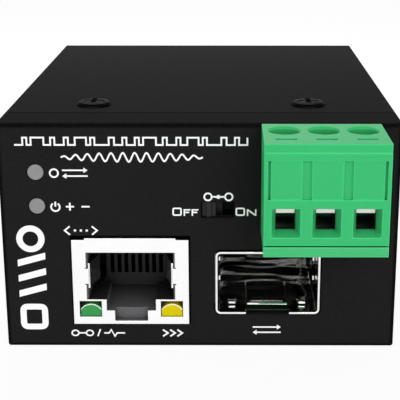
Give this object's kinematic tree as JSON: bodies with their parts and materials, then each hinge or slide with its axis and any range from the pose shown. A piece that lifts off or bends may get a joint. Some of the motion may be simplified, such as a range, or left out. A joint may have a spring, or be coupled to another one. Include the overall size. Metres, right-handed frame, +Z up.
{
  "type": "fibre media converter",
  "caption": "Small black steel box that joins a shielded network socket to an optical module port, with a plug-in screw terminal, a slide switch and indicator lights.",
  "frame": {"origin": "centre of the case's underside, on the front-to-back and side-to-side centre lines", "axes": "+X to the right of the front panel as seen from the front, +Y from the front panel to the rear, +Z up"},
  "size_m": [0.0554, 0.074, 0.0329],
  "materials": {
    "case_black": "fine satin powder coat",
    "screw_black": "black zinc plating",
    "plated_steel": "zinc plated",
    "brass": "turned",
    "board_green": "solder mask over glass laminate",
    "socket_shield": "bright tin plate",
    "socket_black": "moulded",
    "gold": "gold flash",
    "light_green": "tinted light guide",
    "light_yellow": "tinted light guide",
    "cage_metal": "nickel plate",
    "connector_black": "moulded",
    "terminal_green": "moulded",
    "tinned": "tinned",
    "switch_knob": "moulded",
    "lamp_grey": "diffused, unlit",
    "package_black": "moulded packages",
    "can": "drawn",
    "clamp_steel": "zinc plated"
  },
  "bodies": {
    "case": {"front_panel": "case_black", "base_tray": "case_black", "top_cover": "case_black", "cover_screws": "screw_black", "base_screws": "screw_black", "clip_nuts": "plated_steel", "main_board": "board_green", "power_board": "board_green", "board_standoffs": "plated_steel", "board_spacers": "brass", "board_screws": "plated_steel", "jack_shield": "socket_shield", "jack_housing": "socket_black", "jack_contacts": "gold", "jack_green_light": "light_green", "jack_yellow_light": "light_yellow", "sfp_cage": "cage_metal", "sfp_spring_collar": "cage_metal", "sfp_connector": "connector_black", "sfp_contacts": "gold", "terminal_header": "terminal_green", "header_pins": "tinned", "switch_frame": "connector_black", "indicator_block": "connector_black", "indicator_leads": "tinned", "power_light": "lamp_grey", "fibre_light": "lamp_grey", "link_socket": "connector_black", "link_header": "connector_black", "link_pins": "gold", "lan_transformer": "package_black", "converter_chip": "package_black", "clock_crystal": "can", "power_inductor": "package_black", "smoothing_capacitors": "can", "polarity_bridge": "package_black", "power_chip": "package_black", "input_fuse": "package_black"},
    "slider": {"switch_knob": "switch_knob"},
    "plug": {"plug_housing": "terminal_green", "plug_base": "terminal_green", "plug_contacts": "tinned"},
    "screw_1": {"clamp_screw_1": "clamp_steel"},
    "clamp_1": {"clamp_cage_1": "clamp_steel"},
    "screw_2": {"clamp_screw_2": "clamp_steel"},
    "clamp_2": {"clamp_cage_2": "clamp_steel"},
    "screw_3": {"clamp_screw_3": "clamp_steel"},
    "clamp_3": {"clamp_cage_3": "clamp_steel"}
  },
  "joints": [
    {"name": "switch_slide", "type": "slide", "parent": "case", "child": "slider", "axis": [1, 0, 0], "range_m": [0, 0.0024]},
    {"name": "terminal_pull", "type": "slide", "parent": "case", "child": "plug", "axis": [0, -1, 0], "range_m": [0, 0.01]},
    {"name": "clamp_turn_1", "type": "hinge", "parent": "plug", "child": "screw_1", "pos_m": [0.01104, -0.0354, 0.028], "axis": [0, 0, -1], "range_deg": [0, 1440]},
    {"name": "clamp_rise_1", "type": "slide", "parent": "plug", "child": "clamp_1", "axis": [0, 0, 1], "range_m": [0, 0.002]},
    {"name": "clamp_turn_2", "type": "hinge", "parent": "plug", "child": "screw_2", "pos_m": [0.01612, -0.0354, 0.028], "axis": [0, 0, -1], "range_deg": [0, 1440]},
    {"name": "clamp_rise_2", "type": "slide", "parent": "plug", "child": "clamp_2", "axis": [0, 0, 1], "range_m": [0, 0.002]},
    {"name": "clamp_turn_3", "type": "hinge", "parent": "plug", "child": "screw_3", "pos_m": [0.0212, -0.0354, 0.028], "axis": [0, 0, -1], "range_deg": [0, 1440]},
    {"name": "clamp_rise_3", "type": "slide", "parent": "plug", "child": "clamp_3", "axis": [0, 0, 1], "range_m": [0, 0.002]}
  ],
  "couplings": [
    {"joint": "clamp_turn_1", "follows": "clamp_rise_1", "rad_per_m": 12566},
    {"joint": "clamp_turn_2", "follows": "clamp_rise_2", "rad_per_m": 12566},
    {"joint": "clamp_turn_3", "follows": "clamp_rise_3", "rad_per_m": 12566}
  ]
}
